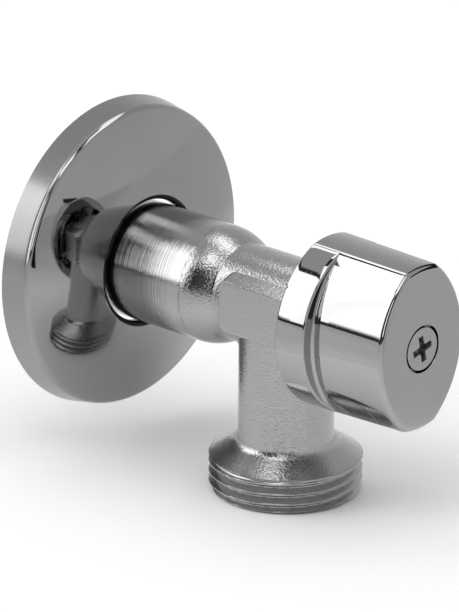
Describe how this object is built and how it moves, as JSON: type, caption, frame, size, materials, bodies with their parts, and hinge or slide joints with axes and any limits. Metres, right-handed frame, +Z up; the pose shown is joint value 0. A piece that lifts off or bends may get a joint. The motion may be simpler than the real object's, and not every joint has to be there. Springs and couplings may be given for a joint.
{
  "type": "angle valve",
  "caption": "Quarter-turn wall angle valve with a male inlet, a downward male hose outlet, a flat-sided front knob and a round sliding wall plate.",
  "frame": {"origin": "On the inlet axis, in the plane of the wall.", "axes": "+Y runs into the wall along the inlet thread, the knob faces -Y, +Z is up and the outlet points down -Z."},
  "size_m": [0.055, 0.0839, 0.0608],
  "materials": {
    "body_chrome": "chrome plate over forged brass, satin where as forged and bright where turned",
    "plate_chrome": "polished chrome plate on pressed sheet",
    "knob_chrome": "polished chrome plate on a die casting",
    "screw_steel": "dull zinc-plated steel",
    "turned_brass": "turned brass",
    "ball_chrome": "hard chrome on a polished brass ball",
    "white_seal": "white low-friction seal plastic",
    "black_seal": "black rubber ring"
  },
  "bodies": {
    "body": {"valve_body": "body_chrome", "inlet_seat": "white_seal", "inlet_retainer": "turned_brass", "outlet_seat": "white_seal", "outlet_retainer": "turned_brass"},
    "handle": {"knob": "knob_chrome", "knob_screw": "screw_steel", "stem": "turned_brass", "stem_washer": "white_seal", "stem_o_ring_inner": "black_seal", "stem_o_ring_outer": "black_seal", "ball": "ball_chrome"},
    "wall_plate": {"escutcheon": "plate_chrome"}
  },
  "joints": [
    {"name": "knob_turn", "type": "hinge", "parent": "body", "child": "handle", "pos_m": [0, -0.0408, 0], "axis": [0, 1, 0], "range_deg": [0, 90]},
    {"name": "plate_slide", "type": "slide", "parent": "body", "child": "wall_plate", "axis": [0, -1, 0], "range_m": [0, 0.016]}
  ]
}
